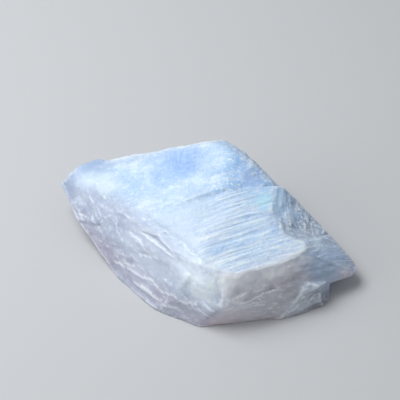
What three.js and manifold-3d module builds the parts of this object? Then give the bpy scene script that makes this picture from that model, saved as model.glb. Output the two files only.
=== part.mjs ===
// A rough piece of moonstone, lying on its flat underside.
//
// Units are millimetres. +Z is up, +X runs along the long diagonal from the blunt tip
// to the pointed tip, and the origin is the middle of the footprint on the resting plane.
//
// The stone is worked the way it broke: a raw lump is split along faces. Every face is
// given by the way it looks (bearing and slope of its outward normal) and by its reach,
// the distance from the heart of the stone out to the face. Faces carry an uneven relief
// with a grain, and small chips with a crisp ledge are struck out of them afterwards.

import * as THREE from 'three';
import Module from 'manifold-3d';

const wasm = await Module();
wasm.setup();

// ---------------------------------------------------------------- driving dimensions

const HEART = new THREE.Vector3(0.2, 0.1, 11); // point inside the stone, 11 mm above the table
const LUMP = new THREE.Vector3(46, 34, 22);    // half the size of the raw lump around the heart
const TERRACE = 0.8;                           // drop from the upper to the lower terrace
const ROOF_LEFT = 9.1;                         // reach of the upper roof, left half
const ROOF_RIGHT = 9.2;                        // reach of the lower roof, right half
const STRIPE = 1.1;                            // spacing of the fine ridges on the cleavage face
const STRIPE_HEIGHT = 0.25;                    // height of those ridges
const CHIP_DEPTH = 0.7;                        // depth of the usual chip ledge

// A texture is the relief of a face: height, the length of a bump along and across the
// grain, the heading of the grain in the face, and the mesh cells that carry it.
const FLAT = { height: 0, along: 10, across: 10, heading: 0, cells: [60, 60] };
const SMOOTH = { height: 0.35, along: 9, across: 6, heading: 0, cells: [3.2, 3.2] };
const RUGGED = { height: 0.7, along: 8, across: 5, heading: 0, cells: [2.6, 2.6] };
const STRIPED = {
  height: STRIPE_HEIGHT,
  along: 14,
  across: STRIPE,
  heading: -30,
  cells: [5, STRIPE / 2],
};
const RUGGED_GRAIN = { height: 0.45, along: 7, across: 2.6, heading: -22, cells: [3, 1.6] };
const RUGGED_CROSS = { ...RUGGED_GRAIN, heading: 20 };
const SLANT_GRAIN = { height: 0.55, along: 8, across: 3.2, heading: -25, cells: [3, 1.8] };

// ---------------------------------------------------------------- the faces

const face = (bearing, slope, reach, texture, seed = 0) => ({ bearing, slope, reach, texture, seed });

// The upper terrace covers the back of the roof and ends in a low wall towards the front.
const UPPER_TERRACE = [
  face(-164, 13.5, ROOF_LEFT, SMOOTH, 1),
  face(-18, 11, ROOF_RIGHT + TERRACE, SMOOTH, 2),
  face(6, 26.5, 12.2, SMOOTH, 3),
  face(75, 72, 22.3, RUGGED, 36),
  face(50, 72, 22.1, RUGGED, 37),
  face(-59, 58, 3.1, FLAT),
];

// The lower terrace is the roof of everything in front.
const LOWER_TERRACE = [
  face(-164, 11.5, ROOF_LEFT - 0.6, SMOOTH, 4),
  face(-18, 11, ROOF_RIGHT, STRIPED, 5),
];

// Below the roof the front half is two pieces side by side. The main one stops at the foot
// and has the rough right shoulder, a notch between two broken faces. The other piece rises
// behind a rim and runs out into the pointed right end, which overhangs the table.
const SHOULDER = face(34, 27, 12.5, RUGGED_GRAIN, 6);
const SHOULDER_TOP = [
  face(-2, 41, 15.6, RUGGED_CROSS, 29),
  face(112, 60, 8.0, FLAT),
  face(68, 70, 19.8, RUGGED, 30),
];
const MAIN_END = face(-15, 65, 25.2, SMOOTH, 7);
const RIGHT_END = [
  face(25, 36, 17.0, SMOOTH, 10),
  face(80, 32, 5.0, SMOOTH, 28),
  face(52, 64, 21.9, SMOOTH, 12),
  face(-10, 85, 39.9, FLAT),
  face(-50, 138, 22.7, SMOOTH, 13),
  face(10, 166, 16.2, SMOOTH, 14),
];

// The faces that close both pieces towards the front.
const FRONT_RIGHT = face(-55, 66, 22.7, SMOOTH, 8);
const FRONT = [
  FRONT_RIGHT,
  face(-44, 60, 22.8, SMOOTH, 11),
  face(-75, 62, 21.7, SMOOTH, 44),
  face(-66, 94, 25.6, SMOOTH, 9),
  face(-52, 82, 26.4, SMOOTH, 26),
];

// A low ledge at the foot of the front right corner.
const TOE = [
  face(30, 20, 5.0, FLAT),
  face(-54, 72, 24.0, SMOOTH, 15),
  face(5, 84, 33.6, SMOOTH, 16),
  face(-22, 78, 32.4, SMOOTH, 31),
  face(-94, 52, 5.1, SMOOTH, 38),
  face(-53, 32, 11.3, SMOOTH, 39),
  face(-52, 82, 26.5, SMOOTH, 26),
];

// The left end: two upright faces and a bevel, with a blunt nub standing out of them.
const LEFT_END = [
  face(-178, 82, 39.4, FLAT),
  face(148, 74, 35.9, SMOOTH, 20),
  face(146, 50, 29.2, SMOOTH, 27),
];
const NUB = [
  face(-164, 11.5, 8.1, FLAT),
  face(180, 84, 41.2, FLAT),
  face(128, 80, 28.4, FLAT),
  face(0, 90, 2.0, FLAT),
];

// The back, and a low lobe that stands out of it at the left.
const BACK = [
  face(111, 82, 21.9, RUGGED, 21),
  face(84, 80, 23.0, RUGGED, 22),
  face(56, 76, 22.9, RUGGED, 23),
];
const LOBE = [
  face(-164, 13.5, ROOF_LEFT - 0.5, FLAT),
  face(139, 24, 14.9, SMOOTH, 32),
  face(153, 80, 37.2, SMOOTH, 33),
  face(125, 80, 30.2, SMOOTH, 34),
  face(75, 80, 4.1, SMOOTH, 35),
  face(0, 90, 2.0, FLAT),
  face(-59, 58, 1.0, FLAT),
];

// The faces that bound the whole stone: the sides, and the worn brow between them and the roof.
const SIDE_TIP = face(-126, 52, 15.3, SLANT_GRAIN, 17);
const SIDE_LEFT = face(-119, 64, 15.9, SLANT_GRAIN, 18);
const SIDE_FRONT = face(-99, 74, 19.6, SLANT_GRAIN, 19);
const SIDES = [
  SIDE_TIP,
  SIDE_LEFT,
  SIDE_FRONT,
  face(-134.4, 31.7, 12.5, SMOOTH, 41),
  face(-127.8, 37.3, 13.3, SMOOTH, 42),
  face(-88.2, 38.7, 17.1, SMOOTH, 43),
  face(85, 145, 17.0, RUGGED, 25),
  face(-165, 152, 20.5, SMOOTH, 24),
  face(0, 180, HEART.z, FLAT),
];

// ---------------------------------------------------------------- vectors of a face

const radians = (degrees) => degrees * Math.PI / 180;

function axes(bearing, slope) {
  const out = new THREE.Vector3(
    Math.cos(radians(bearing)) * Math.sin(radians(slope)),
    Math.sin(radians(bearing)) * Math.sin(radians(slope)),
    Math.cos(radians(slope)),
  );
  const right = new THREE.Vector3(-Math.sin(radians(bearing)), Math.cos(radians(bearing)), 0);
  const up = new THREE.Vector3().crossVectors(out, right);
  return { out, right, up };
}

// Turn a heading in the face (0 to the right, 90 up, seen from outside) into a direction.
function headed(frame, heading) {
  const sideways = frame.right.clone().multiplyScalar(Math.cos(radians(heading)));
  return sideways.addScaledVector(frame.up, Math.sin(radians(heading)));
}

// ---------------------------------------------------------------- relief

// A fixed height between -1 and 1 for every whole-number place.
function grit(i, j, seed) {
  const value = Math.sin(i * 127.1 + j * 311.7 + seed * 74.7) * 43758.5453;
  return 2 * (value - Math.floor(value)) - 1;
}

// The same heights blended smoothly in between.
function unevenness(x, y, seed) {
  const i = Math.floor(x);
  const j = Math.floor(y);
  const s = (x - i) ** 2 * (3 - 2 * (x - i));
  const t = (y - j) ** 2 * (3 - 2 * (y - j));
  const near = grit(i, j, seed) * (1 - s) + grit(i + 1, j, seed) * s;
  const far = grit(i, j + 1, seed) * (1 - s) + grit(i + 1, j + 1, seed) * s;
  return near * (1 - t) + far * t;
}

function relief(texture, seed, along, across) {
  const x = along / texture.along;
  const y = across / texture.across;
  const broad = unevenness(x, y, seed);
  const fine = unevenness(2.1 * x + 5, 2.1 * y + 5, seed + 40);
  return texture.height * (broad + 0.4 * fine);
}

// ---------------------------------------------------------------- solids

function solid(points, triangles) {
  const mesh = new wasm.Mesh({
    numProp: 3,
    vertProperties: new Float32Array(points.flatMap((p) => [p.x, p.y, p.z])),
    triVerts: new Uint32Array(triangles.flat()),
  });
  return new wasm.Manifold(mesh);
}

function rawLump() {
  const points = [];
  for (const z of [-1, 1]) {
    for (const [x, y] of [[-1, -1], [1, -1], [1, 1], [-1, 1]]) {
      points.push(new THREE.Vector3(x, y, z).multiply(LUMP).add(HEART));
    }
  }
  const quads = [[3, 2, 1, 0], [4, 5, 6, 7], [0, 1, 5, 4], [1, 2, 6, 5], [2, 3, 7, 6], [3, 0, 4, 7]];
  return solid(points, quads.flatMap(([a, b, c, d]) => [[a, b, c], [a, c, d]]));
}

// The rock that falls away outside a face: a block whose inner side is the face itself.
function waste({ bearing, slope, reach, texture, seed }) {
  const frame = axes(bearing, slope);
  const along = headed(frame, texture.heading);
  const across = headed(frame, texture.heading + 90);
  const half = LUMP.length();
  const columns = 2 * Math.ceil(half / texture.cells[0]);
  const rows = 2 * Math.ceil(half / texture.cells[1]);
  const place = (a, b, lift) => HEART.clone()
    .addScaledVector(frame.out, reach + lift)
    .addScaledVector(along, a)
    .addScaledVector(across, b);
  const points = [];
  const triangles = [];
  const index = (i, j) => j * (columns + 1) + i;
  for (let j = 0; j <= rows; j += 1) {
    for (let i = 0; i <= columns; i += 1) {
      const a = (i - columns / 2) * texture.cells[0];
      const b = (j - rows / 2) * texture.cells[1];
      points.push(place(a, b, relief(texture, seed, a, b)));
      if (i < columns && j < rows) {
        triangles.push([index(i, j), index(i + 1, j + 1), index(i + 1, j)]);
        triangles.push([index(i, j), index(i, j + 1), index(i + 1, j + 1)]);
      }
    }
  }
  const wide = columns / 2 * texture.cells[0];
  const deep = rows / 2 * texture.cells[1];
  const corner = points.length;
  for (const [a, b] of [[-1, -1], [1, -1], [1, 1], [-1, 1]]) {
    points.push(place(a * wide, b * deep, 2 * half));
  }
  const rim = [
    Array.from({ length: columns + 1 }, (_, i) => index(i, 0)),
    Array.from({ length: rows + 1 }, (_, j) => index(columns, j)),
    Array.from({ length: columns + 1 }, (_, i) => index(columns - i, rows)),
    Array.from({ length: rows + 1 }, (_, j) => index(0, rows - j)),
  ];
  rim.forEach((edge, side) => {
    const here = corner + side;
    const next = corner + (side + 1) % 4;
    for (let k = 0; k + 1 < edge.length; k += 1) {
      triangles.push([here, edge[k], edge[k + 1]]);
    }
    triangles.push([here, edge[edge.length - 1], next]);
  });
  triangles.push([corner, corner + 1, corner + 2], [corner, corner + 2, corner + 3]);
  return solid(points, triangles);
}

const split = (rock, faces) => faces.reduce((left, one) => left.subtract(waste(one)), rock);

// ---------------------------------------------------------------- chips

// A chip is struck from a face along a straight ledge. The middle of the ledge is `right`
// and `up` of the foot of the heart on that face; the chip is deepest at the ledge and
// runs out to nothing at `width`, to the left of the heading.
const chip = (on, right, up, heading, length, width, depth = CHIP_DEPTH) => (
  { on, right, up, heading, length, width, depth }
);

const CHIPS = [
  chip(SIDE_TIP, -23.8, -16, 15, 5, 3),
  chip(SIDE_TIP, -17.6, -15.2, 19, 5, 3),
  chip(SIDE_TIP, -18, -18.5, 22, 7, 3.5),
  chip(SIDE_LEFT, -14, -8, -10, 5, 3),
  chip(SIDE_LEFT, -2.4, -3.6, 4, 17, 5, 1.4),
  chip(SIDE_LEFT, -2.5, -8.2, 14, 7, 3.5),
  chip(SIDE_LEFT, -6.4, -13.5, 12, 5, 3),
  chip(SIDE_LEFT, -10, -15.5, 12, 6, 3),
  chip(SIDE_FRONT, -0.4, -3.4, -17, 6, 2.5),
  chip(SIDE_FRONT, -0.8, -6.6, -47, 6, 3.5, 1),
  chip(SIDE_FRONT, 5, -9.4, -30, 12, 4, 0.6),
  chip(SIDE_FRONT, 1.1, -13.6, 1, 6, 3),
  chip(FRONT_RIGHT, 0.7, -10.2, 10, 5, 2.8, 0.6),
  chip(FRONT_RIGHT, 9.6, -11.4, -2, 7, 3.2, 0.7),
  chip(FRONT_RIGHT, 3.9, -13.4, -4, 7, 3, 0.6),
];

// The struck-out piece: a corner of space that opens outwards from the deepest point.
function flake({ on, right, up, heading, length, width, depth }) {
  const frame = axes(on.bearing, on.slope);
  const along = headed(frame, heading);
  const aside = headed(frame, heading + 90);
  const middle = HEART.clone()
    .addScaledVector(frame.out, on.reach)
    .addScaledVector(frame.right, right)
    .addScaledVector(frame.up, up);
  const deepest = middle.clone().addScaledVector(aside, 0.1 * width).addScaledVector(frame.out, -depth);
  const rim = [
    middle.clone().addScaledVector(along, -length / 2),
    middle.clone().addScaledVector(along, length / 2),
    middle.clone().addScaledVector(aside, width),
  ];
  const outside = rim.map((p) => deepest.clone().addScaledVector(p.sub(deepest), 2.5));
  return solid([deepest, ...outside], [[0, 2, 1], [0, 3, 2], [0, 1, 3], [1, 2, 3]]);
}

// ---------------------------------------------------------------- the stone

function stone() {
  const notched = split(rawLump(), [SHOULDER]).add(split(rawLump(), SHOULDER_TOP));
  const pair = split(notched, [MAIN_END]).add(split(rawLump(), RIGHT_END));
  const front = split(pair, FRONT).add(split(rawLump(), TOE));
  const lower = split(front, LOWER_TERRACE);
  const upper = split(rawLump(), UPPER_TERRACE);
  const body = split(upper.add(lower), LEFT_END).add(split(rawLump(), NUB));
  const whole = split(split(body, BACK).add(split(rawLump(), LOBE)), SIDES);
  return CHIPS.reduce((rock, one) => rock.subtract(flake(one)), whole).simplify(0.03);
}

function toGeometry(rock) {
  const mesh = rock.getMesh();
  const geometry = new THREE.BufferGeometry();
  geometry.setAttribute('position', new THREE.BufferAttribute(mesh.vertProperties, 3));
  geometry.setIndex(new THREE.BufferAttribute(mesh.triVerts, 1));
  const facets = geometry.toNonIndexed();
  facets.computeVertexNormals();
  return facets;
}

const milky = new THREE.MeshStandardMaterial({ color: 0xc4d6ea, roughness: 0.42, metalness: 0 });

const moonstone = new THREE.Mesh(toGeometry(stone()), milky);
moonstone.name = 'moonstone';

const part = new THREE.Group();
part.name = 'moonstone_rough';
part.add(moonstone);

export default part;
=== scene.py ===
"""A rough piece of moonstone lying on a pale floor.

The stone is worked out as one skin. From a heart inside it, every ray runs out to the faces
that the stone broke along, and the lengths of the rays are put together as the blocks of the
solid are: the shorter length where faces cut a block, the longer where blocks grow together.
Lengths are millimetres in the tables here and metres in the mesh.
"""
import math
from typing import NamedTuple

import bpy
import numpy as np
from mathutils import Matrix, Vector


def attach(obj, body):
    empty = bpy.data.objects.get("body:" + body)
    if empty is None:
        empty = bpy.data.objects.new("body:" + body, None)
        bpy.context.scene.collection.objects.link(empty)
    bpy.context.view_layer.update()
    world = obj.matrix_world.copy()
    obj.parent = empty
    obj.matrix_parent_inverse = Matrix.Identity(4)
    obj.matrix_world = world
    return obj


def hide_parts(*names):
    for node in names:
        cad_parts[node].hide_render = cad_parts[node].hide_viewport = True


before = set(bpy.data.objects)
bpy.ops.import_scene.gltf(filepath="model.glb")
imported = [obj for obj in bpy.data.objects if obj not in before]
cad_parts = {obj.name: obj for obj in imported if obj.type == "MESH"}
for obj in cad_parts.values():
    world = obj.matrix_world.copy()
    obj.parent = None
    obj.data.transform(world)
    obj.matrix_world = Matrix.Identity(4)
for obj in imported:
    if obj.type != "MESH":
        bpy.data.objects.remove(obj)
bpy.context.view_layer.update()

bl_info = {
    "name": "Rough moonstone",
    "version": (1, 0, 0),
    "blender": (4, 5, 0),
    "location": "3D View > Sidebar > Moonstone",
    "description": "Builds a rough piece of moonstone and the floor and lights around it",
    "category": "Add Mesh",
}

MM = 0.001
LONGEST_RAY = 60.0  # no ray from the heart to the skin is this long
TINTS = ["roof", "upper", "striped", "rough", "tip", "front", "toe", "side", "lavender"]
TINT_BLEND = 30     # rounds that soften the border of a tint
SIDE_BLEND = 110    # the same for the sides, which fade into the roof
# Soft spots of colour by their strength: those under the streaks and the painted edge highlights, and those
# over them.
# Of these the sheen, glint, corner, brink and rim spots are painted light: a blue sheen, a cyan glint and
# bright lit places.
INNER_SPOTS = {"white": 0.6, "sheen": 0.75, "lilac": 0.85, "glint": 0.8, "corner": 0.9, "end": 0.8,
               "haze": 0.75, "cream": 0.7, "flank": 0.75, "mist": 0.65, "rim": 0.6, "brink": 0.5}
# The lobe and nub spots are painted shade on those facets.
OUTER_SPOTS = {"lobe": 0.8, "nub": 0.85}
# Changes across one tint: the colour that comes in, the tint, the axis (0 to the right, 2 up),
# where the change starts and where it is full, in metres, and its strength. The shade is painted
# shade towards the right of the front face, and the brow is painted light along its top.
GRADES = (("shade", "front", 0, 0.008, 0.026, 1.0), ("brow", "front", 2, 0.0105, 0.0145, 0.6),
          ("far", "rough", 0, 0.019, 0.028, 0.7), ("low", "side", 2, 0.010, 0.003, 1.0))

# ------------------------------------------------------------------ the faces of the stone

HEART = np.array([0.2, 0.1, 11.0])


class Texture(NamedTuple):
    """How uneven a face is: height of the broad bumps, their length along and across the grain
    and its heading, the share of a second layer half as long, the height of the fine grain, of
    the ledges along the grain with their distance, of small flecks, and of thin crests with
    their spacing. The last three are the tint of the face, how many rounds its border with the
    next face is blended over, how far up the face the ledges reach, and how long they hold."""
    height: float
    along: float
    across: float
    heading: float = 0.0
    second: float = 0.4
    grain: float = 0.0
    ledge: float = 0.0
    pitch: float = 3.0
    fleck: float = 0.0
    crest: float = 0.0
    spacing: float = 1.0
    tint: str = "roof"
    blend: int = 3
    ledges_below: float = 99.0
    held: float = 6.0


class Face(NamedTuple):
    """A face by the bearing and slope of its outward normal and its reach from the heart."""
    bearing: float
    slope: float
    reach: float
    texture: Texture
    seed: int = 0


class Chip(NamedTuple):
    """A flake struck from a face. The middle of its ledge is right and up of the face's foot."""
    on: Face
    right: float
    up: float
    heading: float
    length: float
    width: float
    depth: float


def textures(stone):
    """The kinds of surface, with the heights that the settings of the stone give."""
    fine, ledge, fleck = stone.grain_height / MM, stone.ledge_height / MM, stone.fleck_height / MM
    stripe, spacing = stone.stripe_height / MM, stone.stripe_spacing / MM
    silk = dict(grain=0.6 * fine, crest=0.25 * stripe, spacing=1.2 * spacing, blend=40)
    broken = dict(grain=0.8 * fine, ledge=ledge, pitch=3.2, fleck=0.9 * fleck, ledges_below=-1, held=8)
    cracked = dict(grain=0.8 * fine, ledge=0.35 * ledge, pitch=2.0, fleck=0.7 * fleck, crest=0.07,
                   spacing=1.1)
    return {
        "flat": Texture(0.0, 10, 10, grain=0.5 * fine, tint="lavender"),
        "table": Texture(0.0, 10, 10),
        "smooth": Texture(0.35, 9, 6, 0, 0.4, 0.7 * fine, tint="side"),
        "lobe": Texture(0.35, 9, 6, 0, 0.4, 0.7 * fine, tint="lavender"),
        "silky": Texture(0.3, 9, 6, 98, 0.4, tint="roof", **silk),
        "silky_right": Texture(0.3, 9, 6, -30, 0.4, tint="upper", **silk),
        "lilac": Texture(0.35, 5, 3, -30, 0.5, 0.8 * fine, 0.5 * ledge, 2.0, 0.7 * fleck, tint="upper"),
        "striped": Texture(0.6 * stripe, 14, spacing, -30, 0.5, 0.4 * fine, crest=stripe,
                           spacing=spacing, tint="striped", blend=40),
        "rugged": Texture(0.7, 8, 5, 0, 0.4, 1.5 * fine, ledge, tint="side"),
        "shoulder": Texture(0.35, 7, 2.6, -25, 0.4, tint="rough", **cracked),
        "shoulder_top": Texture(0.35, 7, 2.6, 15, 0.4, tint="rough", **cracked),
        "front": Texture(0.4, 9, 6, -8, 0.3, fine, ledge, 3.0, 1.2 * fleck, tint="front",
                         ledges_below=-8),
        "front_end": Texture(0.4, 9, 6, -10, 0.3, fine, crest=0.1, spacing=1.0, tint="front"),
        "toe": Texture(0.3, 9, 6, 10, 0.4, fine, 0.5 * ledge, 3.0, tint="toe"),
        "right_end": Texture(0.35, 9, 6, -66, 0.4, 0.8 * fine, 0.4 * ledge, 2.2, crest=0.12,
                             spacing=0.9, tint="tip"),
        "side_tip": Texture(0.5, 11, 4.4, -8, 0.35, tint="side", **dict(broken, ledge=0.55 * ledge)),
        "side": Texture(0.5, 11, 4.4, 3, 0.35, tint="side", **broken),
        "side_low": Texture(0.5, 11, 4.4, -18, 0.35, tint="side", **broken),
        "brow": Texture(0.35, 9, 6, 0, 0.4, tint="side", **dict(broken, ledge=0.3 * ledge)),
    }


def faces(stone):
    """Every face of the stone by the block that it bounds."""
    t = textures(stone)
    drop = stone.terrace_drop / MM
    left, right = 9.1, 9.2
    side_tip = Face(-126, 52, 15.3, t["side_tip"], 17)
    side_left = Face(-119, 64, 15.9, t["side"], 18)
    side_front = Face(-99, 74, 19.6, t["side_low"], 19)
    shoulder = Face(34, 27, 12.5, t["shoulder"], 6)
    front_right = Face(-55, 66, 22.7, t["front"], 8)
    return {
        "upper_terrace": [
            Face(-164, 13.5, left, t["silky"], 1),
            Face(-18, 11, right + drop, t["silky_right"], 2),
            Face(6, 26.5, 12.2, t["lilac"], 3),
            Face(75, 72, 22.3, t["rugged"], 36),
            Face(50, 72, 22.1, t["rugged"], 37),
            Face(-59, 58, 3.1, t["flat"]),
        ],
        "lower_terrace": [
            Face(-164, 11.5, left - 0.6, t["silky"], 4),
            Face(-18, 11, right, t["striped"], 5),
        ],
        "shoulder": [shoulder],
        "shoulder_top": [
            Face(-2, 41, 15.6, t["shoulder_top"], 29),
            Face(112, 60, 8.0, t["flat"]),
            Face(68, 70, 19.8, t["rugged"], 30),
        ],
        "main_end": [Face(-15, 65, 25.2, t["smooth"], 7)],
        "right_end": [
            Face(25, 36, 17.0, t["right_end"], 10),
            Face(80, 32, 5.0, t["right_end"], 28),
            Face(52, 64, 21.9, t["right_end"], 12),
            Face(-10, 85, 39.9, t["right_end"]),
            Face(-50, 138, 22.7, t["right_end"], 13),
            Face(10, 166, 16.2, t["smooth"], 14),
        ],
        "front": [
            front_right,
            Face(-44, 60, 22.8, t["front_end"], 11),
            Face(-75, 62, 21.7, t["front"], 44),
            Face(-66, 94, 25.6, t["front"], 9),
            Face(-52, 82, 26.4, t["front"], 26),
        ],
        "toe": [
            Face(30, 20, 5.0, t["flat"]),
            Face(-54, 72, 24.0, t["toe"], 15),
            Face(5, 84, 33.6, t["toe"], 16),
            Face(-22, 78, 32.4, t["toe"], 31),
            Face(-94, 52, 5.1, t["toe"], 38),
            Face(-53, 32, 11.3, t["toe"], 39),
            Face(-52, 82, 26.5, t["toe"], 26),
        ],
        "left_end": [
            Face(-178, 82, 39.4, t["flat"]),
            Face(148, 74, 35.9, t["smooth"], 20),
            Face(146, 50, 29.2, t["smooth"], 27),
        ],
        "nub": [
            Face(-164, 6, 4.5, t["flat"]),
            Face(180, 84, 41.2, t["flat"]),
            Face(128, 80, 28.4, t["flat"]),
            Face(0, 90, 2.0, t["flat"]),
        ],
        "back": [
            Face(111, 82, 21.9, t["rugged"], 21),
            Face(84, 80, 23.0, t["rugged"], 22),
            Face(56, 76, 22.9, t["rugged"], 23),
        ],
        "lobe": [
            Face(-164, 8, 5.5, t["flat"]),
            Face(139, 24, 14.9, t["lobe"], 32),
            Face(153, 80, 37.2, t["lobe"], 33),
            Face(125, 80, 30.2, t["lobe"], 34),
            Face(75, 80, 4.1, t["smooth"], 35),
            Face(0, 90, 2.0, t["flat"], 1),
            Face(-59, 58, 1.0, t["flat"]),
        ],
        "sides": [
            side_tip,
            side_left,
            side_front,
            Face(-134.4, 31.7, 12.5, t["brow"], 41),
            Face(-127.8, 37.3, 13.3, t["brow"], 42),
            Face(-88.2, 38.7, 17.1, t["brow"], 43),
            Face(85, 145, 17.0, t["rugged"], 25),
            Face(-165, 152, 20.5, t["smooth"], 24),
        ],
        "table": [Face(0, 180, HEART[2], t["table"])],
    }


def chips(stone, by_block):
    """The flakes struck out of the broken faces."""
    side_tip, side_left, side_front = by_block["sides"][:3]
    front_right = by_block["front"][0]
    usual = stone.chip_depth / MM
    return [
        Chip(side_tip, -23.8, -16, 15, 5, 3, usual),
        Chip(side_tip, -17.6, -15.2, 19, 5, 3, usual),
        Chip(side_tip, -18, -18.5, 22, 7, 3.5, usual),
        Chip(side_left, -14, -8, -10, 5, 3, usual),
        Chip(side_left, -2.4, -3.6, 4, 17, 5, 1.5),
        Chip(side_left, -2.5, -8.2, 14, 7, 3.5, usual),
        Chip(side_left, -6.4, -13.5, 12, 5, 3, usual),
        Chip(side_left, -10, -15.5, 12, 6, 3, usual),
        Chip(side_front, -0.4, -3.4, -17, 6, 2.5, usual),
        Chip(side_front, -0.8, -6.6, -47, 6, 3.5, 0.3),
        Chip(side_front, 5, -9.4, -30, 12, 3, 0.25),
        Chip(side_front, 1.1, -13.6, 1, 6, 3, usual),
        Chip(front_right, 0.7, -10.2, 10, 5, 2.8, 0.5),
        Chip(front_right, 9.6, -11.4, -2, 7, 2.6, 0.4),
        Chip(front_right, 3.9, -13.4, -4, 7, 3, 0.4),
    ]


# ------------------------------------------------------------------ relief

def ramp(value, low, high):
    """0 up to the low value, 1 from the high one, and straight in between."""
    return np.clip((value - low) / (high - low), 0, 1)


def grit(i, j, seed):
    """A fixed height between -1 and 1 for every whole-number place."""
    value = np.sin(i * 127.1 + j * 311.7 + seed * 74.7) * 43758.5453
    return 2.0 * (value - np.floor(value)) - 1.0


def unevenness(x, y, seed):
    """The heights of grit blended smoothly in between, s * s * (3 - 2 s) each way."""
    i, j = np.floor(x), np.floor(y)
    s, t = x - i, y - j
    s, t = s * s * (3 - 2 * s), t * t * (3 - 2 * t)
    near = grit(i, j, seed) * (1 - s) + grit(i + 1, j, seed) * s
    far = grit(i, j + 1, seed) * (1 - s) + grit(i + 1, j + 1, seed) * s
    return near * (1 - t) + far * t


def ledges(along, across, pitch, length, seed):
    """Long low steps along the grain, from 0 to 1: each rises slowly across the grain and falls
    back within a short way. They wander, and they fade away and come back along their length."""
    wander = 0.9 * unevenness(0.67 * along / length, 0.4 * across / pitch, seed + 50) \
        + 0.3 * unevenness(2.4 * along / length, across / pitch, seed + 51)
    part = np.mod(across / pitch + wander, 1.0)
    step = np.where(part < 0.86, part / 0.86, (1 - part) / 0.14)
    held = 0.25 + 1.3 * unevenness(along / length, 0.7 * across / pitch, seed + 52)
    return step * np.clip(held, 0, 1)


def relief(texture, seed, along, across):
    """Broad unevenness as on the solid, drawn towards ledges, with a finer one over it, thin
    crests along the grain where a stretched noise passes through nothing, and small flecks."""
    x, y = along / texture.along, across / texture.across
    height = texture.height * (
        unevenness(x, y, seed) + texture.second * unevenness(2.1 * x + 5, 2.1 * y + 5, seed + 40))
    u, v = along / 2.4, across / 1.2
    faded = 1 - ramp(across, texture.ledges_below - 4, texture.ledges_below)
    if texture.ledge:
        height = height + texture.ledge * faded * ledges(along, across, texture.pitch, texture.held, seed)
    if texture.grain:
        height = height + texture.grain * (
            unevenness(u + 9, v + 3, seed + 60) + 0.5 * unevenness(2.2 * u, 2.2 * v, seed + 61))
    if texture.crest:
        p, q = along / (18 * texture.spacing), across / texture.spacing
        line = unevenness(p, q, seed + 80) + 0.3 * unevenness(2 * p, 1.9 * q, seed + 81)
        held = np.clip(0.6 + 0.9 * unevenness(2 * p, 0.27 * q, seed + 82), 0, 1)
        height = height + texture.crest * held * (1 - np.minimum(np.abs(line) * 2.6, 1)) ** 2
    if texture.fleck:
        high = unevenness(0.9 * u, 1.2 * v, seed + 70) + 0.35 * unevenness(2.5 * u, 2.5 * v, seed + 71)
        height = height + texture.fleck * faded * ramp(high, 0.8, 1.1)
    return height


def axes(face):
    """Outward normal of a face, the direction to its right and the one up it."""
    b, s = math.radians(face.bearing), math.radians(face.slope)
    out = np.array([math.cos(b) * math.sin(s), math.sin(b) * math.sin(s), math.cos(s)])
    right = np.array([-math.sin(b), math.cos(b), 0.0])
    return out, right, np.cross(out, right)


def headed(right, up, heading):
    """A heading in a face, 0 to the right and 90 up, as a direction."""
    h = math.radians(heading)
    return math.cos(h) * right + math.sin(h) * up


# ------------------------------------------------------------------ rays from the heart

FAR = 90.0


class Hit(NamedTuple):
    """How far every ray runs, and the number of the face that it ends on."""
    run: np.ndarray
    face: np.ndarray


def out_to(number, face, rays):
    """How far each ray runs to a flat face: its reach over the cosine of ray and normal."""
    cosine = rays @ axes(face)[0]
    run = np.where(cosine > face.reach / FAR, face.reach / np.maximum(cosine, 1e-6), FAR)
    return Hit(run, np.full(len(rays), number))


def shorter(a, b, worn=0.0):
    """The shorter of two hits, rounded where they are nearly the same, as a worn edge is."""
    run = np.minimum(a.run, b.run)
    meet = np.maximum(worn - np.abs(a.run - b.run), 0.0)
    return Hit(run - meet * meet / np.maximum(4 * worn, 1e-6), np.where(a.run <= b.run, a.face, b.face))


def longer(a, b, filled=0.0):
    """The longer of two hits, filled out a little where they are nearly the same."""
    run = np.maximum(a.run, b.run)
    meet = np.maximum(filled - np.abs(a.run - b.run), 0.0)
    return Hit(run + meet * meet / np.maximum(4 * filled, 1e-6), np.where(a.run >= b.run, a.face, b.face))


def struck(hit, rays, chip):
    """A hit with a flake gone. The flake is a corner of space: a ray is inside it where its
    point is a sum of the corner's three edges with no share below nothing."""
    out, right, up = axes(chip.on)
    along, aside = headed(right, up, chip.heading), headed(right, up, chip.heading + 90)
    middle = chip.on.reach * out + chip.right * right + chip.up * up
    deepest = middle + 0.1 * chip.width * aside - chip.depth * out
    rim = np.array([middle - chip.length / 2 * along, middle + chip.length / 2 * along,
                    middle + chip.width * aside])
    shares = np.linalg.inv((rim - deepest).T)
    grow, start = rays @ shares.T, shares @ deepest
    with np.errstate(divide="ignore", invalid="ignore"):
        cross = start / grow
    enter = np.where(grow > 0, cross, -np.inf).max(axis=1)
    leave = np.where(grow < 0, cross, np.inf).min(axis=1)
    inside = (enter > 0) & (enter < hit.run) & (leave > hit.run)
    return Hit(np.where(inside, enter, hit.run), hit.face)


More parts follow.
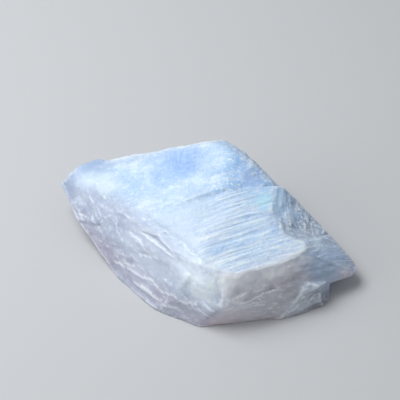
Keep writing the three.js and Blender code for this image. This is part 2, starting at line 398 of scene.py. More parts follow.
def base_form(rays, stone, block, numbers):
    """The flat-faced stone with its chips: the hit of every ray from the heart. Edges are worn
    from little to much: worn, soft, broad (along the top of the sides) and wide (on the roof)."""
    even = stone.edge_wear / MM
    worn = even * (1 + 0.8 * unevenness(rays[:, 0] * 9, rays[:, 1] * 9 + rays[:, 2] * 7, 3))
    soft, wide = even + worn, 6 * even
    broad = even * (2 + 5 * ramp(rays[:, 2], 0, 0.25))

    def cut(name, wear=worn):
        hits = [out_to(numbers[one], one, rays) for one in block[name]]
        for one in hits[1:]:
            hits[0] = shorter(hits[0], one, wear)
        return hits[0]

    main = shorter(longer(cut("shoulder"), cut("shoulder_top"), soft), cut("main_end"), soft)
    front = cut("front", soft)
    front = longer(shorter(main, front, worn), shorter(cut("right_end", soft), front, wide), worn)
    front = longer(front, cut("toe"), worn)
    lower = shorter(front, cut("lower_terrace", wide), worn)
    upper = cut("upper_terrace", wide)
    body = longer(shorter(longer(lower, upper, worn), cut("left_end"), soft), cut("nub"))
    hit = longer(shorter(body, cut("back"), soft), cut("lobe", soft))
    hit = shorter(hit, cut("sides", soft), broad)
    for one in chips(stone, block):
        hit = struck(hit, rays, one)
    return shorter(hit, cut("table"), worn)


# ------------------------------------------------------------------ the skin

# Rough corners of the stone in plan, from its heart: left and back, then front and right.
PLAN = np.array([[[-39.5, 3.5], [4.0, 24.0]], [[12.5, -24.5], [39.5, 2.0]]])
LEAST_HEIGHT = 4.0


def block_skin(cells):
    """The skin of a block of cells, as places from 0 to 1 along its three edges and quads that
    face outwards. Each of the six sides is a grid of two parameters; the rows that two sides
    share are the same points."""
    size = np.array(cells)
    places, quads, made = [], [], 0
    for fixed in range(3):
        first, second = (fixed + 1) % 3, (fixed + 2) % 3
        m, n = size[first], size[second]
        u, v = np.meshgrid(np.arange(m + 1), np.arange(n + 1), indexing="ij")
        index = np.arange((m + 1) * (n + 1)).reshape(m + 1, n + 1)
        ring = np.stack([index[:-1, :-1], index[1:, :-1], index[1:, 1:], index[:-1, 1:]], -1).reshape(-1, 4)
        for end in (0, size[fixed]):
            place = np.empty((u.size, 3), int)
            place[:, fixed], place[:, first], place[:, second] = end, u.ravel(), v.ravel()
            places.append(place)
            quads.append(made + (ring if end else ring[:, ::-1]))
            made += u.size
    place = np.concatenate(places)
    key = (place[:, 0] * (size[1] + 1) + place[:, 1]) * (size[2] + 1) + place[:, 2]
    _, kept, merged = np.unique(key, return_index=True, return_inverse=True)
    return place[kept] / size, merged[np.concatenate(quads)]


def rough_block(place, roof):
    """Each place in the block as a point of a rough stone: blended straight between the four
    corners in plan, and upwards between the table and the lowest of the roof faces there."""
    a, b, c = (place[:, k] for k in range(3))
    plan = ((1 - a) * (1 - b))[:, None] * PLAN[0, 0] + ((1 - a) * b)[:, None] * PLAN[0, 1] \
        + (a * (1 - b))[:, None] * PLAN[1, 0] + (a * b)[:, None] * PLAN[1, 1]
    top = np.full(len(plan), FAR)
    for face in roof:
        out = axes(face)[0]
        top = np.minimum(top, (face.reach - plan @ out[:2]) / out[2])
    low = -HEART[2]
    high = np.maximum(top, low + LEAST_HEIGHT)
    return np.column_stack([plan, low + c * (high - low)])


def gathered(quads, values, count):
    """For every point, the sum of what each of its quads brings."""
    where = quads.ravel()
    return np.stack([np.bincount(where, np.repeat(values[:, k], 4), count) for k in range(3)], 1)


def normals_of(points, quads):
    """Outward normal at every point: the sum of the cross products of its quads' diagonals."""
    diagonal = np.cross(points[quads[:, 2]] - points[quads[:, 0]], points[quads[:, 3]] - points[quads[:, 1]])
    normal = gathered(quads, diagonal, len(points))
    return normal / np.linalg.norm(normal, axis=1, keepdims=True)


def spread(values, quads, times):
    """Values averaged with those of the points around them, so many times."""
    where = quads.ravel()
    shares = np.bincount(where, minlength=len(values))
    for _ in range(times):
        mean = values[quads].mean(axis=1)
        values = np.bincount(where, np.repeat(mean, 4), len(values)) / shares
    return values


def roughened(hit, rays, quads, every):
    """Points from the heart, moved along the normal of the face they lie on by its relief.
    Where faces meet, each moves a point by its share of the quads around it."""
    flat = hit.run[:, None] * rays
    moved = flat.copy()
    for number, face in enumerate(every[:-1]):
        share = spread((hit.face == number).astype(float), quads, every[number].texture.blend)
        near = share > 0.001
        out, right, up = axes(face)
        along = headed(right, up, face.texture.heading)
        across = headed(right, up, face.texture.heading + 90)
        lift = relief(face.texture, face.seed, flat[near] @ along, flat[near] @ across)
        moved[near] += (share[near] * lift)[:, None] * out
    moved[:, 2] = np.maximum(moved[:, 2], -HEART[2])
    return moved


def tinted(hit, quads, every):
    """How far each tint covers every point: the share of the faces that have it, blended widely."""
    tint_of = np.array([TINTS.index(one.texture.tint) for one in every])[hit.face]
    rounds = {name: SIDE_BLEND if name == "side" else TINT_BLEND for name in TINTS}
    return {name: spread((tint_of == index).astype(float), quads, rounds[name])
            for index, name in enumerate(TINTS)}


def bulge(points, normals, quads):
    """How far each point stands out of the ones around it, in millimetres: the distance
    along the normal from the mean of the quads around it."""
    mean = gathered(quads, points[quads].mean(axis=1), len(points))
    mean /= np.bincount(quads.ravel(), minlength=len(points))[:, None]
    return ((points - mean) * normals).sum(axis=1)


def mesh_object(name, points, quads, values=None):
    """A mesh from arrays, in metres, with named values at its points."""
    mesh = bpy.data.meshes.new(name)
    mesh.from_pydata((points * MM).tolist(), [], quads.tolist())
    for key, value in (values or {}).items():
        mesh.attributes.new(key, "FLOAT", "POINT").data.foreach_set("value", value.astype(np.float32))
    mesh.polygons.foreach_set("use_smooth", np.ones(len(mesh.polygons), bool))
    mesh.update()
    made = bpy.data.objects.new(name, mesh)
    bpy.context.scene.collection.objects.link(made)
    return made


# ------------------------------------------------------------------ material

class Nodes:
    """Short ways to add and join the nodes of one tree."""

    def __init__(self, tree):
        self.tree = tree

    def add(self, kind, **settings):
        node = self.tree.nodes.new(kind)
        for key, value in settings.items():
            setattr(node, key, value)
        return node

    def feed(self, node, **values):
        """Sets or joins sockets by name, with a space for every underscore."""
        for key, value in values.items():
            self.put(node.inputs[key.replace("_", " ")], value)
        return node

    def put(self, socket, value):
        if isinstance(value, bpy.types.NodeSocket):
            self.tree.links.new(value, socket)
        else:
            socket.default_value = value

    def math(self, operation, a, b=0.0, clamp=False):
        node = self.add("ShaderNodeMath", operation=operation, use_clamp=clamp)
        self.put(node.inputs[0], a)
        self.put(node.inputs[1], b)
        return node.outputs[0]

    def ranged(self, value, low, high, to_low=0.0, to_high=1.0):
        node = self.add("ShaderNodeMapRange", interpolation_type="SMOOTHSTEP")
        for socket, one in zip(node.inputs, (value, low, high, to_low, to_high)):
            self.put(socket, one)
        return node.outputs[0]

    def mix(self, share, a, b, blend="MIX"):
        node = self.add("ShaderNodeMix", data_type="RGBA", blend_type=blend)
        self.put(node.inputs["Factor"], share)
        self.put(node.inputs[6], a)
        self.put(node.inputs[7], b)
        return node.outputs[2]

    def placed(self, vector, scale, turn):
        node = self.add("ShaderNodeMapping")
        self.put(node.inputs["Vector"], vector)
        node.inputs["Rotation"].default_value = [math.radians(one) for one in turn]
        node.inputs["Scale"].default_value = scale
        return node.outputs["Vector"]

    def noise(self, vector, scale, detail, roughness):
        node = self.add("ShaderNodeTexNoise")
        self.feed(node, Vector=vector, Scale=scale, Detail=detail, Roughness=roughness)
        return node.outputs["Fac"]

    def value_at(self, name):
        return self.add("ShaderNodeAttribute", attribute_name=name).outputs["Fac"]


def new_group(name, inputs, outputs):
    """A shader node group with its named inputs and outputs, as (group, nodes, input, output)."""
    group = bpy.data.node_groups.new(name, "ShaderNodeTree")
    for label, kind, default in inputs:
        socket = group.interface.new_socket(name=label, in_out="INPUT", socket_type=kind)
        if default is not None:
            socket.default_value = default
    for label, kind in outputs:
        group.interface.new_socket(name=label, in_out="OUTPUT", socket_type=kind)
    nodes = Nodes(group)
    return group, nodes, nodes.add("NodeGroupInput"), nodes.add("NodeGroupOutput")


def patch_group():
    """A soft spot: 1 at its middle, 0 outside its radius, with an uneven border."""
    group, n, given, made = new_group(
        "soft_patch",
        [("Vector", "NodeSocketVector", None), ("Middle", "NodeSocketVector", (0, 0, 0)),
         ("Radius", "NodeSocketFloat", 0.01), ("Uneven", "NodeSocketFloat", 0.3)],
        [("Mask", "NodeSocketFloat")])
    away = n.add("ShaderNodeVectorMath", operation="DISTANCE")
    n.put(away.inputs[0], given.outputs["Vector"])
    n.put(away.inputs[1], given.outputs["Middle"])
    ratio = n.math("DIVIDE", away.outputs["Value"], given.outputs["Radius"])
    wander = n.math("SUBTRACT", n.noise(given.outputs["Vector"], 160.0, 4.0, 0.6), 0.5)
    ratio = n.math("ADD", ratio, n.math("MULTIPLY", n.math("MULTIPLY", wander, 4.0), given.outputs["Uneven"]))
    n.put(made.inputs["Mask"], n.ranged(ratio, 1.0, 0.15))
    return group


def streak_group():
    """Fine streaks along one direction: a noise drawn out to a length, at a spacing across, over
    a second one twice as fine. It gives a value around a half."""
    group, n, given, made = new_group(
        "streaks",
        [("Vector", "NodeSocketVector", None), ("Bearing", "NodeSocketFloat", 0.0),
         ("Length", "NodeSocketFloat", 0.016), ("Spacing", "NodeSocketFloat", 0.0011)],
        [("Value", "NodeSocketFloat")])
    turn = n.add("ShaderNodeVectorRotate", rotation_type="Z_AXIS")
    n.put(turn.inputs["Vector"], given.outputs["Vector"])
    n.put(turn.inputs["Angle"], n.math("MULTIPLY", given.outputs["Bearing"], -1.0))
    apart = n.add("ShaderNodeSeparateXYZ")
    n.put(apart.inputs[0], turn.outputs["Vector"])
    whole = n.add("ShaderNodeCombineXYZ")
    n.put(whole.inputs[0], n.math("DIVIDE", apart.outputs[0], given.outputs["Length"]))
    n.put(whole.inputs[1], n.math("DIVIDE", apart.outputs[1], given.outputs["Spacing"]))
    n.put(whole.inputs[2], n.math("DIVIDE", apart.outputs[2], given.outputs["Spacing"]))
    n.put(made.inputs["Value"], n.noise(whole.outputs[0], 1.0, 2.0, 0.6))
    return group


def use_group(n, group, **values):
    node = n.add("ShaderNodeGroup", node_tree=group)
    n.feed(node, **values)
    return node.outputs[0]


def colour_of(stone, name):
    return tuple(getattr(stone, name + "_colour"))


def ground_colour(n, stone, where, share, foot):
    """The tints of the faces laid over each other, the front with a painted pink reflection low down,
    and then the changes across single tints, among them painted shade and painted light on the front."""
    colour = tuple(stone.milk)
    for name in TINTS[1:]:
        colour = n.mix(share[name], colour, colour_of(stone, name))
        if name == "front":
            # A painted reflection of warm pink light, low on the front.
            colour = n.mix(foot, colour, colour_of(stone, "foot"))
    apart = n.add("ShaderNodeSeparateXYZ")
    n.put(apart.inputs[0], where)
    for name, tint_name, axis, start, full, strength in GRADES:
        far = n.ranged(apart.outputs[axis], start, full, 0.0, strength)
        colour = n.mix(n.math("MULTIPLY", far, share[tint_name]), colour, colour_of(stone, name))
    return colour


def clouded(n, stone, colour, where, streaks, share):
    """Pale clouds, veins and specks in the stone, darker specks between them, and bright sparks,
    which are painted glints, where it is grainy. All of them are weaker on the sides and the front."""
    lively = n.ranged(n.math("ADD", share["side"], share["front"]), 0.0, 1.0, 1.0, 0.45)
    cloud = n.ranged(n.noise(where, 130.0, 4.0, 0.6), 0.42, 0.66, 0.0, 0.35)
    veins = use_group(n, streaks, Vector=where, Bearing=math.radians(28), Length=0.025, Spacing=0.0045)
    speckle = n.noise(where, 650.0, 4.0, 0.75)
    for pale in (cloud, n.ranged(veins, 0.5, 0.7, 0.0, 0.5), n.ranged(speckle, 0.52, 0.68, 0.0, 0.45)):
        colour = n.mix(n.math("MULTIPLY", pale, lively), colour, colour_of(stone, "veil"))
    deep = n.math("MULTIPLY", n.ranged(speckle, 0.47, 0.33, 0.0, 0.55), lively)
    colour = n.mix(deep, colour, colour_of(stone, "deep"), "MULTIPLY")
    sparks = n.ranged(n.noise(where, 1300.0, 2.0, 0.6), 0.54, 0.64)
    grainy = n.math("ADD", n.math("MULTIPLY", share["upper"], 0.45), n.math("MULTIPLY", share["rough"], 0.3))
    sparks = n.math("MULTIPLY", sparks, n.math("ADD", grainy, 0.12, clamp=True))
    return n.mix(n.math("MULTIPLY", sparks, lively), colour, colour_of(stone, "edge"))


def spotted(n, stone, colour, spots, strengths):
    """Soft spots of colour, each with its strength."""
    for name, strength in strengths.items():
        colour = n.mix(n.math("MULTIPLY", spots[name], strength), colour, colour_of(stone, name))
    return colour


def streaked(n, stone, colour, stripes, upright, spots, share):
    """Light and dark streaks along the striped face, and upright ones on the rough shoulder and
    in the painted blue sheen. The lines are the stone's own, with painted highlight on the light ones,
    which take the highlight colour, and painted shade on the dark upright ones, which take the hollow
    shade colour. They are weaker where the stone is misty."""
    clear = n.ranged(spots["mist"], 0.0, 1.0, 1.0, 0.35)
    lined = n.math("MULTIPLY", n.math("ADD", share["striped"], 0.15, clamp=True), clear)
    light = n.math("MULTIPLY", n.ranged(stripes, 0.52, 0.66), lined)
    colour = n.mix(n.math("MULTIPLY", light, 0.45), colour, colour_of(stone, "edge"))
    dark = n.math("MULTIPLY", n.ranged(stripes, 0.48, 0.36), lined)
    colour = n.mix(n.math("MULTIPLY", dark, 0.17), colour, colour_of(stone, "tip"))
    banded = n.math("ADD", n.math("MULTIPLY", share["rough"], n.math("MULTIPLY", clear, 0.42)),
                    n.math("MULTIPLY", spots["sheen"], 0.15), clamp=True)
    light = n.math("MULTIPLY", n.ranged(upright, 0.5, 0.68), banded)
    colour = n.mix(light, colour, colour_of(stone, "edge"))
    dark = n.math("MULTIPLY", n.ranged(upright, 0.5, 0.34), n.math("MULTIPLY", banded, 0.6))
    return n.mix(dark, colour, colour_of(stone, "hollow"))


def edge_highlight_and_hollow_shade(n, stone, colour, edge, hollow, share):
    """Painted shade, a little grey, in the hollows and painted highlights, pale, on the edges, both weaker on
    the sides.
    """
    grey = n.math("MULTIPLY", hollow, n.ranged(share["side"], 0.0, 1.0, 0.25, 0.2))
    colour = n.mix(grey, colour, colour_of(stone, "hollow"))
    pale = n.math("MULTIPLY", edge, n.ranged(share["side"], 0.0, 1.0, 0.6, 0.5))
    return n.mix(pale, colour, colour_of(stone, "edge"))


def small_relief(n, where, fine, stripes, share):
    """The relief too small for the mesh, as a normal: fine grain, small facets drawn out across
    the stone, and hair lines along the striped face."""
    facets = n.add("ShaderNodeTexVoronoi", feature="F1", distance="CHEBYCHEV")
    n.feed(facets, Vector=n.placed(where, (1500, 700, 1200), (10, 20, 16)), Scale=1.0)
    height = n.math("ADD", n.math("MULTIPLY", fine, 0.5), n.math("MULTIPLY", facets.outputs["Distance"], 0.5))
    hairs = n.math("MULTIPLY", n.ranged(stripes, 0.4, 0.6, 0.0, 0.35), share["striped"])
    bump = n.add("ShaderNodeBump")
    n.feed(bump, Strength=0.6, Distance=0.00028, Height=n.math("ADD", height, hairs))
    return bump.outputs["Normal"]


def moonstone_material(stone):
    """Milky stone: a cool white, tinted from place to place, with painted highlights on its edges, a little
    painted shade in its hollows, and painted patches of blue sheen as if under the surface."""
    material = bpy.data.materials.new("moonstone")
    material.use_nodes = True
    tree = material.node_tree
    tree.nodes.clear()
    n = Nodes(tree)
    where = n.add("ShaderNodeTexCoord").outputs["Object"]
    patch, streaks = patch_group(), streak_group()

    # Masks for painted highlights on the edges, painted shade in the hollows and a painted pink reflection.
    edge, hollow, foot = (n.value_at(name) for name in ("edge", "hollow", "foot"))
    share = {name: n.value_at(name) for name in TINTS}
    spots = {name: use_group(n, patch, Vector=where, Middle=tuple(getattr(stone, name + "_place")),
                             Radius=getattr(stone, name + "_size"), Uneven=0.3)
             for name in (*INNER_SPOTS, *OUTER_SPOTS, "flakes")}
    stripes = use_group(n, streaks, Vector=where, Bearing=math.radians(42), Length=0.02,
                        Spacing=0.8 * stone.stripe_spacing)
    upright = use_group(n, streaks, Vector=where, Bearing=math.radians(106), Length=0.006, Spacing=0.0008)
    fine = n.noise(where, 2600.0, 4.0, 0.65)

    colour = ground_colour(n, stone, where, share, foot)
    colour = clouded(n, stone, colour, where, streaks, share)
    colour = spotted(n, stone, colour, spots, INNER_SPOTS)
    colour = streaked(n, stone, colour, stripes, upright, spots, share)
    # Painted highlights on the edges and painted shade in the hollows.
    colour = edge_highlight_and_hollow_shade(n, stone, colour, edge, hollow, share)
    colour = spotted(n, stone, colour, spots, OUTER_SPOTS)
    # Painted glints: small bright sparkles in the highlight colour, low at the front.
    flakes = n.ranged(n.noise(where, 800.0, 2.0, 0.6), 0.48, 0.6, 0.0, 0.8)
    colour = n.mix(n.math("MULTIPLY", flakes, spots["flakes"]), colour, colour_of(stone, "edge"))

    shader = n.add("ShaderNodeBsdfPrincipled")
    n.feed(shader, Base_Color=colour, Roughness=n.ranged(fine, 0.3, 0.7, 0.3, 0.55),
           Normal=small_relief(n, where, fine, stripes, share))
    n.feed(shader, IOR=1.52, Subsurface_Weight=stone.milkiness,
           Subsurface_Radius=(1.0, 1.1, 1.3), Subsurface_Scale=stone.glow_depth)
    n.feed(n.add("ShaderNodeOutputMaterial"), Surface=shader.outputs[0])
    return material


# ------------------------------------------------------------------ settings

def length(name, text, default, **more):
    return bpy.props.FloatProperty(name=name, description=text, default=default, unit="LENGTH",
                                   subtype="DISTANCE", precision=5, **more)


def tint(name, text, default):
    return bpy.props.FloatVectorProperty(name=name, description=text, default=(*default, 1.0), size=4,
                                         subtype="COLOR", min=0.0, max=1.0)


def place(name, text, default):
    return bpy.props.FloatVectorProperty(name=name, description=text, default=default, size=3,
                                         subtype="TRANSLATION", unit="LENGTH", precision=4)


class StoneSettings(bpy.types.PropertyGroup):
    cells: bpy.props.IntVectorProperty(
        name="Cells", description="Cells of the skin along its two long edges and its height",
        default=(230, 110, 60), size=3, min=8)
    terrace_drop: length("Terrace drop", "Step from the upper to the lower terrace", 0.0008)
    stripe_spacing: length("Stripe spacing", "Distance between the ridges of the striped face", 0.0009)
    stripe_height: length("Stripe height", "Height of those ridges", 0.00024)
    ledge_height: length("Ledge height", "Height of the ledges on the broken faces", 0.0004)
    grain_height: length("Grain height", "Height of the fine unevenness", 0.00012)
    chip_depth: length("Chip depth", "Depth of the usual chip", 0.00035)
    fleck_height: length("Fleck height", "Height of the small flecks on the broken faces", 0.0003)
    edge_wear: length("Edge wear", "How far from an edge the wear starts", 0.0006)
    milkiness: bpy.props.FloatProperty(
        name="Milkiness", description="Share of the light that enters and spreads in the stone",
        default=0.6, min=0.0, max=1.0, subtype="FACTOR")
    glow_depth: length("Glow depth", "How far light spreads inside the stone", 0.0013)
    milk: tint("Milk", "Colour of the left half of the roof", (0.49, 0.655, 0.84))
    upper_colour: tint("Peak", "Colour of the roof around its peak", (0.33, 0.565, 0.87))
    striped_colour: tint("Striped face", "Colour of the striped right half of the roof", (0.53, 0.71, 0.95))
    veil_colour: tint("Veil", "Colour of the pale clouds in the stone", (0.82, 0.90, 0.97))
    deep_colour: tint("Deep", "What the darker specks do to the colour under them", (0.72, 0.80, 0.92))
    # Painted shade towards the right of the front right face.
    shade_colour: tint("Shade", "Colour of the right part of the front right face", (0.52, 0.51, 0.56))
    low_colour: tint("Low sides", "Colour of the sides near the floor", (0.39, 0.365, 0.465))
    side_colour: tint("Sides", "Colour of the left and front sides", (0.395, 0.45, 0.575))
    front_colour: tint("Front", "Colour of the front right face", (0.80, 0.80, 0.87))
    toe_colour: tint("Toe", "Colour of the low ledge at the foot", (0.18, 0.20, 0.265))
    # A painted reflection: warm pink light low on the front.
    foot_colour: tint("Foot", "Colour low down at the front", (0.68, 0.55, 0.61))
    tip_colour: tint("Right end", "Colour of the pointed right end", (0.275, 0.385, 0.56))
    rough_colour: tint("Rough", "Colour of the rough shoulder", (0.29, 0.405, 0.57))
    far_colour: tint("Far rough", "Colour of the right part of the rough shoulder", (0.15, 0.225, 0.35))
    haze_colour: tint("Haze", "Colour of the pale left tip of the roof", (0.66, 0.79, 0.90))
    haze_place: place("Haze place", "Middle of that pale tip", (-0.0333, 0.0046, 0.0130))
    haze_size: length("Haze size", "Radius of that pale tip", 0.006)
    cream_colour: tint("Cream", "Colour of the pale streak at the left of the roof", (0.70, 0.81, 0.84))
    cream_place: place("Cream place", "Middle of that streak", (-0.0274, 0.0037, 0.0142))
    cream_size: length("Cream size", "Radius of that streak", 0.005)
    flank_colour: tint("Flank", "Colour of the pale middle of the left side", (0.57, 0.63, 0.74))
    flank_place: place("Flank place", "Middle of that pale part", (-0.0113, -0.0140, 0.0105))
    flank_size: length("Flank size", "Radius of that pale part", 0.012)
    mist_colour: tint("Mist", "Colour of the pale back corner of the striped face", (0.48, 0.72, 1.0))
    mist_place: place("Mist place", "Middle of that pale corner", (0.0173, 0.0079, 0.0156))
    mist_size: length("Mist size", "Radius of that pale corner", 0.009)
    # Painted light along the bright brink above the front corner.
    brink_colour: tint("Brink", "Colour of the pale brink above the front corner", (0.80, 0.91, 1.0))
    brink_place: place("Brink place", "Middle of that brink", (0.0021, -0.0186, 0.0189))
    brink_size: length("Brink size", "Radius of the colour of that brink", 0.007)
    # A painted highlight along the rim of the right end.
    rim_colour: tint("Rim", "Colour of the rim of the right end", (0.74, 0.88, 0.98))
    rim_place: place("Rim place", "Middle of that rim", (0.0297, 0.0010, 0.0123))
    rim_size: length("Rim size", "Radius of the colour of that rim", 0.004)
    # The small bright flakes are painted glints.
    flakes_place: place("Flakes place", "Middle of the bright small flakes low at the front",
                        (0.0128, -0.0228, 0.0090))
    flakes_size: length("Flakes size", "Radius around that place", 0.005)
    # Painted light along the top of the front right face.
    brow_colour: tint("Brow", "Colour of the top of the front right face", (0.95, 0.97, 1.0))
    # Painted shade on the low lobe, which the key light here would light.
    lobe_colour: tint("Lobe", "Colour of the low lobe at the back left", (0.31, 0.43, 0.64))
    lobe_place: place("Lobe place", "Middle of the low lobe at the back left", (-0.0345, 0.0108, 0.0126))
    lobe_size: length("Lobe size", "Radius of the colour of that lobe", 0.008)
    # Painted shade on the blunt nub.
    nub_colour: tint("Nub", "Colour of the blunt nub at the left end", (0.20, 0.26, 0.40))
    nub_place: place("Nub place", "Middle of the blunt nub at the left end", (-0.0392, 0.0012, 0.0115))
    nub_size: length("Nub size", "Radius of the colour of that nub", 0.005)
    # Partly the lobe's and the nub's own lavender, partly painted shade on them.
    lavender_colour: tint("Lavender", "Colour of the lobe and the nub at the left end", (0.23, 0.30, 0.50))
    # The colour of painted highlights: on edges, light streaks, sparks and the small bright flakes.
    edge_colour: tint("Edges", "Colour of thin bright edges", (0.93, 0.97, 1.0))
    # The colour of painted shade in the hollows, also used for the dark upright streaks.
    hollow_colour: tint("Hollows", "Colour of deep places", (0.40, 0.47, 0.56))
    # A painted sheen: the blue adularescence laid into the colour as a patch.
    sheen_colour: tint("Blue sheen", "Colour of the patch of blue sheen", (0.255, 0.45, 0.81))
    sheen_place: place("Sheen place", "Middle of the patch of blue sheen", (-0.0108, 0.0122, 0.0188))
    sheen_size: length("Sheen size", "Radius of the patch of blue sheen", 0.0098)
    white_colour: tint("White", "Colour of the whitest part of the roof", (0.61, 0.71, 0.83))
    white_place: place("White place", "Middle of the whitest part of the roof", (-0.0030, -0.0085, 0.0180))
    white_size: length("White size", "Radius of the whitest part of the roof", 0.017)
    lilac_colour: tint("Lilac", "Colour of the lilac patch on the back right facet", (0.46, 0.64, 1.0))
    lilac_place: place("Lilac place", "Middle of the lilac patch", (0.0096, 0.0124, 0.0198))
    lilac_size: length("Lilac size", "Radius of the lilac patch", 0.0055)
    # Painted light: the front corner, which faces away from the key light, made pale.
    corner_colour: tint("Corner", "Colour of the pale front corner", (0.83, 0.91, 1.0))
    corner_place: place("Corner place", "Middle of the pale front corner", (0.0055, -0.0205, 0.0125))
    corner_size: length("Corner size", "Radius of the pale front corner", 0.011)
    end_colour: tint("End", "Colour of the surface of the right end", (0.38, 0.51, 0.70))
    end_place: place("End place", "Middle of the coloured surface of the right end", (0.033, -0.003, 0.011))
    end_size: length("End size", "Radius of the coloured surface of the right end", 0.011)
    # A painted glint: a small cyan highlight laid into the colour.
    glint_colour: tint("Cyan glint", "Colour of the small cyan patch", (0.48, 0.86, 1.0))
    glint_place: place("Glint place", "Middle of the small cyan patch", (0.0149, 0.0064, 0.0180))
    glint_size: length("Glint size", "Radius of the small cyan patch", 0.004)


class StageSettings(bpy.types.PropertyGroup):
    floor_colour: tint("Floor", "Colour of the floor", (0.55, 0.56, 0.57))
    floor_size: length("Floor size", "Side of the floor", 3.0)
    azimuth: bpy.props.FloatProperty(
        name="Azimuth", description="Bearing of the camera to the right of the front",
        default=math.radians(16.5), subtype="ANGLE")
    elevation: bpy.props.FloatProperty(name="Elevation", description="Height of the camera above the horizon",
                                       default=math.radians(48.6), subtype="ANGLE")
    distance: length("Distance", "From the camera to the point that it looks at", 0.3605)
    aim: place("Aim", "Point that the camera looks at", (-0.0046, 0.0123, 0.0056))
    lens: bpy.props.FloatProperty(name="Lens", description="Focal length in millimetres", default=120.0,
                                  min=10.0, subtype="DISTANCE_CAMERA", unit="CAMERA")
    key_power: bpy.props.FloatProperty(name="Key light", description="Power of the large soft light",
                                       default=1.62, min=0.0, unit="POWER")
    left_power: bpy.props.FloatProperty(name="Left light", description="Power of the soft light at the left",
                                        default=0.9, min=0.0, unit="POWER")
    sky: bpy.props.FloatProperty(name="Sky", description="Strength of the even light all round",
                                 default=0.35, min=0.0)


# ------------------------------------------------------------------ operators

class MOONSTONE_OT_stone(bpy.types.Operator):
    """Build the stone in place of the plain solid"""
    bl_idname = "moonstone.stone"
    bl_label = "Stone"

    def execute(self, context):
        stone = context.scene.moonstone_stone
        place, quads = block_skin(tuple(stone.cells))
        block = faces(stone)
        roof = block["upper_terrace"][:3] + block["right_end"][:1]
        rays = rough_block(place, roof)
        rays /= np.linalg.norm(rays, axis=1, keepdims=True)
        every = [one for group in block.values() for one in group]
        numbers = {one: number for number, one in enumerate(every)}
        hit = base_form(rays, stone, block, numbers)
        if hit.run.max() > LONGEST_RAY:
            raise RuntimeError("a ray of the stone never leaves it")
        points = HEART + roughened(hit, rays, quads, every)
        normals = normals_of(points, quads)
        stand = bulge(points, normals, quads)
        wide = spread(stand, quads, 3)
        x, y, z = points.T
        off_table = ramp(z, 0, 1)
        values = {
            # Where painted highlights lighten the convex edges.
            "edge": ramp(stand, 0.01, 0.04) * off_table,
            # Where painted shade greys the concave places.
            "hollow": ramp(-wide, 0, 0.02) * off_table,
            # Where the painted pink reflection lies: low down and towards the front right.
            "foot": (1 - ramp(z, 0, 8)) * ramp(x - 0.4 * y, 2, 14),
        }
        values.update(tinted(hit, quads, every))
        made = mesh_object("moonstone_stone", points, quads, values)
        made.data.materials.append(moonstone_material(stone))
        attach(made, "root")
        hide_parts("moonstone")
        return {"FINISHED"}


def soft_light(name, towards, distance, size, power):
    """A square soft light, this way and this far from the middle of the floor, turned to it."""
    lamp = bpy.data.lights.new(name, "AREA")
    lamp.size, lamp.energy = size, power
    lamp.color = (0.97, 0.985, 1.0)
    made = bpy.data.objects.new(name, lamp)
    away = Vector(towards).normalized()
    made.location = away * distance
    made.rotation_euler = away.to_track_quat("Z", "Y").to_euler()
    bpy.context.scene.collection.objects.link(made)


def plain_material(name, colour, roughness):
    """One even, matt colour, for the floor."""
    material = bpy.data.materials.new(name)
    material.use_nodes = True
    shader = material.node_tree.nodes["Principled BSDF"]
    shader.inputs["Base Color"].default_value = tuple(colour)
    shader.inputs["Roughness"].default_value = roughness
    return material


def view_back(azimuth, elevation):
    """From what is looked at towards the camera."""
    return Vector((math.sin(azimuth) * math.cos(elevation), -math.cos(azimuth) * math.cos(elevation),
                   math.sin(elevation)))


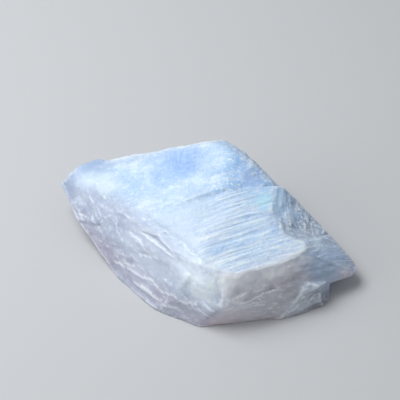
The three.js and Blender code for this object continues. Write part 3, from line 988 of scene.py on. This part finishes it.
class MOONSTONE_OT_stage(bpy.types.Operator):
    """Add the floor, the lights and the camera"""
    bl_idname = "moonstone.stage"
    bl_label = "Stage"

    def execute(self, context):
        stage = context.scene.moonstone_stage
        half = stage.floor_size / MM / 2
        corners = np.array([[-half, -half, 0], [half, -half, 0], [half, half, 0], [-half, half, 0]])
        floor = mesh_object("floor", corners, np.array([[0, 1, 2, 3]]))
        floor.data.materials.append(plain_material("floor_paint", stage.floor_colour, 0.8))

        soft_light("key", towards=(-0.45, 0.02, 0.89), distance=0.45, size=0.27, power=stage.key_power)
        soft_light("left", towards=(-0.81, -0.47, 0.34), distance=0.6, size=0.4, power=stage.left_power)

        world = bpy.data.worlds.new("studio")
        world.use_nodes = True
        ground = world.node_tree.nodes["Background"]
        ground.inputs["Color"].default_value = (0.93, 0.96, 1.0, 1.0)
        ground.inputs["Strength"].default_value = stage.sky
        context.scene.world = world
        context.scene.view_settings.view_transform = "Standard"

        data = bpy.data.cameras.new("camera")
        data.lens, data.sensor_width = stage.lens, 36.0
        data.clip_start, data.clip_end = 0.01, 10.0
        camera = bpy.data.objects.new("camera", data)
        back = view_back(stage.azimuth, stage.elevation)
        camera.location = Vector(stage.aim) + back * stage.distance
        camera.rotation_euler = back.to_track_quat("Z", "Y").to_euler()
        context.scene.collection.objects.link(camera)
        context.scene.camera = camera
        return {"FINISHED"}


class MOONSTONE_PT_panel(bpy.types.Panel):
    """The settings and the steps, in the order they run"""
    bl_idname = "MOONSTONE_PT_panel"
    bl_label = "Rough moonstone"
    bl_space_type = "VIEW_3D"
    bl_region_type = "UI"
    bl_category = "Moonstone"

    def draw(self, context):
        for settings, step in ((context.scene.moonstone_stone, MOONSTONE_OT_stone),
                               (context.scene.moonstone_stage, MOONSTONE_OT_stage)):
            box = self.layout.box()
            for key in settings.__annotations__:
                box.prop(settings, key)
            box.operator(step.bl_idname)


CLASSES = (StoneSettings, StageSettings, MOONSTONE_OT_stone, MOONSTONE_OT_stage, MOONSTONE_PT_panel)


def register():
    for one in CLASSES:
        bpy.utils.register_class(one)
    bpy.types.Scene.moonstone_stone = bpy.props.PointerProperty(type=StoneSettings)
    bpy.types.Scene.moonstone_stage = bpy.props.PointerProperty(type=StageSettings)


def unregister():
    del bpy.types.Scene.moonstone_stage
    del bpy.types.Scene.moonstone_stone
    for one in reversed(CLASSES):
        bpy.utils.unregister_class(one)


def main():
    register()
    bpy.ops.moonstone.stone()
    bpy.ops.moonstone.stage()
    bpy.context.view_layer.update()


if __name__ == "__main__":
    main()
